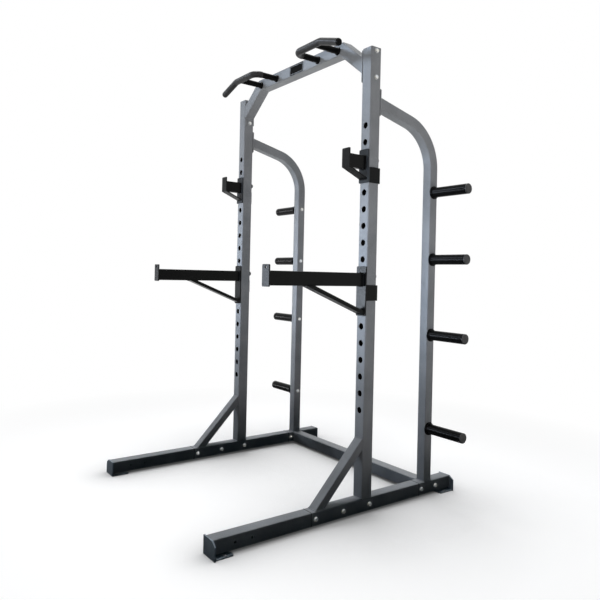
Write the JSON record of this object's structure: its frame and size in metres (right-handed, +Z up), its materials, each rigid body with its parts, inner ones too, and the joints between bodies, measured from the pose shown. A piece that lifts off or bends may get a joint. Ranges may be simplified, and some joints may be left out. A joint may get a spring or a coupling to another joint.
{
  "type": "power rack",
  "caption": "Half rack with pin-hole uprights, bent rear posts with plate pegs, a cranked pull-up beam with grips, swinging bar hooks and spotter arms.",
  "frame": {"origin": "on the floor, midway between the two sides and midway between the front and rear feet", "axes": "+Z up, +X to the right as seen from the front, +Y to the rear; the pins and the lifting bay face -Y"},
  "size_m": [1.544, 1.344, 2.164],
  "materials": {
    "grey_coat": "fine metallic grey powder coat",
    "black_coat": "satin black powder coat",
    "hook_coat": "satin charcoal powder coat, greyer on the plates",
    "zinc": "bright zinc plate",
    "black_plastic": "moulded black plastic"
  },
  "bodies": {
    "frame": {"right_upright": "grey_coat", "left_upright": "grey_coat", "right_base_rail": "grey_coat", "left_base_rail": "grey_coat", "right_front_leg": "grey_coat", "left_front_leg": "grey_coat", "right_rear_stub": "grey_coat", "left_rear_stub": "grey_coat", "right_brace": "grey_coat", "left_brace": "grey_coat", "right_rear_post": "grey_coat", "left_rear_post": "grey_coat", "right_front_foot": "grey_coat", "left_front_foot": "grey_coat", "right_rear_foot": "grey_coat", "left_rear_foot": "grey_coat", "right_upright_cap": "black_plastic", "left_upright_cap": "black_plastic", "right_plate_peg_1": "black_coat", "left_plate_peg_1": "black_coat", "right_peg_bolt_1": "zinc", "left_peg_bolt_1": "zinc", "right_plate_peg_2": "black_coat", "left_plate_peg_2": "black_coat", "right_peg_bolt_2": "zinc", "left_peg_bolt_2": "zinc", "right_plate_peg_3": "black_coat", "left_plate_peg_3": "black_coat", "right_peg_bolt_3": "zinc", "left_peg_bolt_3": "zinc", "right_plate_peg_4": "black_coat", "left_plate_peg_4": "black_coat", "right_peg_bolt_4": "zinc", "left_peg_bolt_4": "zinc", "right_rail_bolt_1": "zinc", "left_rail_bolt_1": "zinc", "right_rail_bolt_2": "zinc", "left_rail_bolt_2": "zinc", "right_rail_bolt_3": "zinc", "left_rail_bolt_3": "zinc", "right_rail_bolt_4": "zinc", "left_rail_bolt_4": "zinc", "right_rail_bolt_5": "zinc", "left_rail_bolt_5": "zinc", "right_beam_bolt_1": "zinc", "left_beam_bolt_1": "zinc", "right_beam_bolt_2": "zinc", "left_beam_bolt_2": "zinc", "rear_crossmember": "grey_coat", "pullup_beam": "grey_coat", "right_pullup_handle": "black_coat", "left_pullup_handle": "black_coat", "right_handle_cap": "black_plastic", "left_handle_cap": "black_plastic"},
    "right_bar_hook": {"right_bar_hook": "hook_coat"},
    "right_spotter_arm": {"right_spotter_arm": "hook_coat"},
    "left_bar_hook": {"left_bar_hook": "hook_coat"},
    "left_spotter_arm": {"left_spotter_arm": "hook_coat"}
  },
  "joints": [
    {"name": "right_bar_hook_swing", "type": "hinge", "parent": "frame", "child": "right_bar_hook", "pos_m": [0.539, 0.105, 1.587], "axis": [0, -1, 0], "range_deg": [0, 90]},
    {"name": "right_spotter_arm_swing", "type": "hinge", "parent": "frame", "child": "right_spotter_arm", "pos_m": [0.539, 0.105, 1.062], "axis": [0, -1, 0], "range_deg": [0, 90]},
    {"name": "left_bar_hook_swing", "type": "hinge", "parent": "frame", "child": "left_bar_hook", "pos_m": [-0.539, 0.105, 1.587], "axis": [0, 1, 0], "range_deg": [0, 90]},
    {"name": "left_spotter_arm_swing", "type": "hinge", "parent": "frame", "child": "left_spotter_arm", "pos_m": [-0.539, 0.105, 1.062], "axis": [0, 1, 0], "range_deg": [0, 90]}
  ]
}
